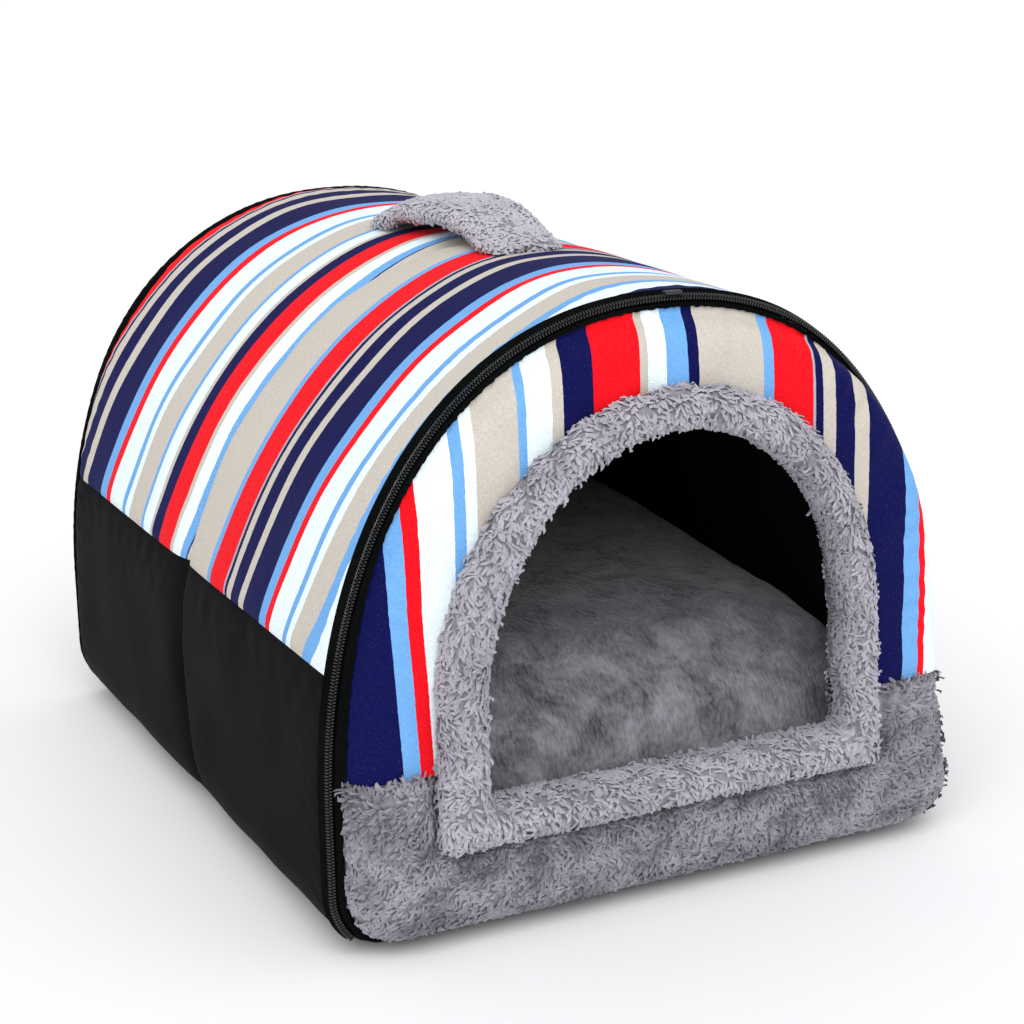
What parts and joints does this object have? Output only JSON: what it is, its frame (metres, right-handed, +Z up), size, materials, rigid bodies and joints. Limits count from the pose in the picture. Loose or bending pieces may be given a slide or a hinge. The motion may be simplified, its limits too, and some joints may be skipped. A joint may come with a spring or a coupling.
{
  "type": "semi-enclosed dog bed",
  "caption": "Padded tunnel-shaped dog bed: striped canvas roof and front, D-shaped doorway edged in long plush, black oxford sides, filled plush mat inside, carrying strap on the ridge.",
  "frame": {"origin": "on the floor, under the middle of the bed's outer box", "axes": "+Z up, +Y from the doorway towards the closed back, +X to the right as seen from the doorway"},
  "size_m": [0.3532, 0.453, 0.3218],
  "materials": {
    "striped_canvas": "matt printed canvas in stripes of beige, white, navy, red and light blue",
    "black_oxford": "slightly shiny woven black cloth",
    "black_lining": "matt black cloth",
    "grey_plush": "long curly pile",
    "dark_plush": "short velvety pile",
    "black_tape": "matt woven tape",
    "zip_plastic": "satin black"
  },
  "bodies": {
    "root": {"roof_panel": "striped_canvas", "side_panel_left": "black_oxford", "side_panel_right": "black_oxford", "base_panel": "black_oxford", "back_panel": "black_oxford", "lining": "black_lining", "front_panel": "striped_canvas", "front_skirt": "grey_plush", "door_trim": "grey_plush", "zip_tape": "black_tape", "zip_tape_roof": "black_tape", "zip_coil": "zip_plastic", "zip_slider": "zip_plastic", "front_binding": "black_tape", "back_binding": "black_tape", "side_binding_left": "black_tape", "side_binding_right": "black_tape", "mat": "dark_plush", "handle": "grey_plush"}
  },
  "joints": []
}
